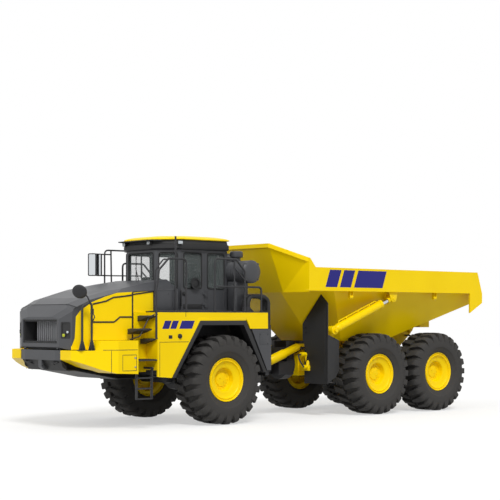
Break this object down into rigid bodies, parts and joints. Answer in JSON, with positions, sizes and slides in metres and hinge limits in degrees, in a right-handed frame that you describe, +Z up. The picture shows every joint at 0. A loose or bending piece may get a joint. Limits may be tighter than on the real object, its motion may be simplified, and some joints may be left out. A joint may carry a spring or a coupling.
{
  "type": "articulated dump truck",
  "caption": "Articulated dump truck with a front unit carrying cab and hood, a steering and oscillating hitch, driven axles with large tyres and a tipping bed.",
  "frame": {"origin": "on the ground at the centre of the length and width", "axes": "+X forward, +Y to the left side, +Z up"},
  "size_m": [11.71, 3.44, 3.98],
  "materials": {
    "black_plastic": "moulded",
    "cast_steel": "painted casting",
    "chrome_rod": "hard chrome",
    "frame_paint": "satin enamel",
    "grey_paint": "satin enamel",
    "hose_rubber": "braided hose",
    "seat_cloth": "woven",
    "tyre_rubber": "moulded rubber",
    "window_glass": "tinted safety glass",
    "yellow_paint": "gloss enamel"
  },
  "bodies": {
    "front_unit": {"front_frame": "frame_paint", "front_axle": "cast_steel", "front_struts": "cast_steel", "belly_guard": "frame_paint", "engine_block": "cast_steel", "front_bumper": "grey_paint", "side_bodies": "yellow_paint", "side_walls": "yellow_paint", "fenders": "yellow_paint", "wheel_arches": "black_plastic", "deck": "frame_paint", "stairs": "black_plastic", "cab_base": "grey_paint", "cab_frame": "grey_paint", "cab_roof": "yellow_paint", "cab_glass": "window_glass", "seat": "seat_cloth", "dashboard": "black_plastic", "service_box": "grey_paint", "air_cleaner": "grey_paint", "handrails": "black_plastic", "mirrors": "black_plastic", "hoses": "hose_rubber", "cab_fittings": "black_plastic", "fender_tanks": "grey_paint"},
    "hood": {"hood_shell": "grey_paint", "hood_sides": "yellow_paint", "grille": "black_plastic", "headlamps": "black_plastic"},
    "door": {"door_panel": "grey_paint", "door_glass": "window_glass"},
    "hitch": {"hitch": "grey_paint"},
    "rear_unit": {"rear_frame": "yellow_paint", "bogie_beams": "cast_steel", "mid_axle": "cast_steel", "rear_axle": "cast_steel", "mud_flaps": "black_plastic"},
    "bed": {"bed": "yellow_paint"},
    "steer_barrel_left": {"steer_barrel_left": "yellow_paint"},
    "steer_rod_left": {"steer_rod_left": "chrome_rod"},
    "hoist_barrel_left": {"hoist_barrel_left": "yellow_paint"},
    "hoist_stage_left": {"hoist_stage_left": "chrome_rod"},
    "hoist_rod_left": {"hoist_rod_left": "chrome_rod"},
    "steer_barrel_right": {"steer_barrel_right": "yellow_paint"},
    "steer_rod_right": {"steer_rod_right": "chrome_rod"},
    "hoist_barrel_right": {"hoist_barrel_right": "yellow_paint"},
    "hoist_stage_right": {"hoist_stage_right": "chrome_rod"},
    "hoist_rod_right": {"hoist_rod_right": "chrome_rod"},
    "wheel_front_left": {"tyre_front_left": "tyre_rubber", "rim_front_left": "yellow_paint"},
    "wheel_front_right": {"tyre_front_right": "tyre_rubber", "rim_front_right": "yellow_paint"},
    "wheel_mid_left": {"tyre_mid_left": "tyre_rubber", "rim_mid_left": "yellow_paint"},
    "wheel_mid_right": {"tyre_mid_right": "tyre_rubber", "rim_mid_right": "yellow_paint"},
    "wheel_rear_left": {"tyre_rear_left": "tyre_rubber", "rim_rear_left": "yellow_paint"},
    "wheel_rear_right": {"tyre_rear_right": "tyre_rubber", "rim_rear_right": "yellow_paint"}
  },
  "joints": [
    {"name": "steer", "type": "hinge", "parent": "front_unit", "child": "hitch", "pos_m": [0.2, 0, 1.25], "axis": [0, 0, 1], "range_deg": [-45, 45]},
    {"name": "oscillate", "type": "hinge", "parent": "hitch", "child": "rear_unit", "pos_m": [-0.99, 0, 1.15], "axis": [-1, 0, 0], "range_deg": [-15, 15]},
    {"name": "bed_tip", "type": "hinge", "parent": "rear_unit", "child": "bed", "pos_m": [-4.565, 0, 1.95], "axis": [0, -1, 0], "range_deg": [0, 70]},
    {"name": "hood_tilt", "type": "hinge", "parent": "front_unit", "child": "hood", "pos_m": [5.8, 0, 1.64], "axis": [0, 1, 0], "range_deg": [0, 60]},
    {"name": "door_swing", "type": "hinge", "parent": "front_unit", "child": "door", "pos_m": [2.38, 0.972, 2.6], "axis": [0, 0, 1], "range_deg": [0, 85]},
    {"name": "steer_barrel_left", "type": "hinge", "parent": "hitch", "child": "steer_barrel_left", "pos_m": [-0.905, 0.42, 1.6], "axis": [0, 0, 1], "range_deg": [-12, 12]},
    {"name": "steer_rod_left", "type": "slide", "parent": "steer_barrel_left", "child": "steer_rod_left", "axis": [0.9428, 0.0088, -0.3333], "range_m": [-0.29, 0.29]},
    {"name": "steer_barrel_right", "type": "hinge", "parent": "hitch", "child": "steer_barrel_right", "pos_m": [-0.905, -0.42, 1.6], "axis": [0, 0, 1], "range_deg": [-12, 12]},
    {"name": "steer_rod_right", "type": "slide", "parent": "steer_barrel_right", "child": "steer_rod_right", "axis": [0.9428, -0.0088, -0.3333], "range_m": [-0.29, 0.29]},
    {"name": "hoist_barrel_left", "type": "hinge", "parent": "rear_unit", "child": "hoist_barrel_left", "pos_m": [-0.85, 1.56, 1.955], "axis": [0, 1, 0], "range_deg": [-1, 12]},
    {"name": "hoist_stage_left", "type": "slide", "parent": "hoist_barrel_left", "child": "hoist_stage_left", "axis": [-0.9327, 0, 0.3606], "range_m": [0, 1.2]},
    {"name": "hoist_rod_left", "type": "slide", "parent": "hoist_stage_left", "child": "hoist_rod_left", "axis": [-0.9327, 0, 0.3606], "range_m": [0, 1.2]},
    {"name": "hoist_barrel_right", "type": "hinge", "parent": "rear_unit", "child": "hoist_barrel_right", "pos_m": [-0.85, -1.56, 1.955], "axis": [0, 1, 0], "range_deg": [-1, 12]},
    {"name": "hoist_stage_right", "type": "slide", "parent": "hoist_barrel_right", "child": "hoist_stage_right", "axis": [-0.9327, 0, 0.3606], "range_m": [0, 1.2]},
    {"name": "hoist_rod_right", "type": "slide", "parent": "hoist_stage_right", "child": "hoist_rod_right", "axis": [-0.9327, 0, 0.3606], "range_m": [0, 1.2]},
    {"name": "roll_front_left", "type": "hinge", "parent": "front_unit", "child": "wheel_front_left", "pos_m": [2.335, 1.345, 0.9375], "axis": [0, 1, 0], "continuous": true},
    {"name": "roll_front_right", "type": "hinge", "parent": "front_unit", "child": "wheel_front_right", "pos_m": [2.335, -1.345, 0.9375], "axis": [0, 1, 0], "continuous": true},
    {"name": "roll_mid_left", "type": "hinge", "parent": "rear_unit", "child": "wheel_mid_left", "pos_m": [-2.265, 1.345, 0.9375], "axis": [0, 1, 0], "continuous": true},
    {"name": "roll_mid_right", "type": "hinge", "parent": "rear_unit", "child": "wheel_mid_right", "pos_m": [-2.265, -1.345, 0.9375], "axis": [0, 1, 0], "continuous": true},
    {"name": "roll_rear_left", "type": "hinge", "parent": "rear_unit", "child": "wheel_rear_left", "pos_m": [-4.295, 1.345, 0.9375], "axis": [0, 1, 0], "continuous": true},
    {"name": "roll_rear_right", "type": "hinge", "parent": "rear_unit", "child": "wheel_rear_right", "pos_m": [-4.295, -1.345, 0.9375], "axis": [0, 1, 0], "continuous": true}
  ],
  "couplings": [
    {"joint": "steer_barrel_left", "follows": "steer", "ratio": 0.067463},
    {"joint": "steer_rod_left", "follows": "steer", "m_per_rad": 0.35897},
    {"joint": "steer_barrel_right", "follows": "steer", "ratio": 0.067463},
    {"joint": "steer_rod_right", "follows": "steer", "m_per_rad": -0.35897},
    {"joint": "hoist_barrel_left", "follows": "bed_tip", "ratio": 0.092618},
    {"joint": "hoist_stage_left", "follows": "bed_tip", "m_per_rad": 0.91943},
    {"joint": "hoist_rod_left", "follows": "bed_tip", "m_per_rad": 0.91943},
    {"joint": "hoist_barrel_right", "follows": "bed_tip", "ratio": 0.092618},
    {"joint": "hoist_stage_right", "follows": "bed_tip", "m_per_rad": 0.91943},
    {"joint": "hoist_rod_right", "follows": "bed_tip", "m_per_rad": 0.91943}
  ]
}
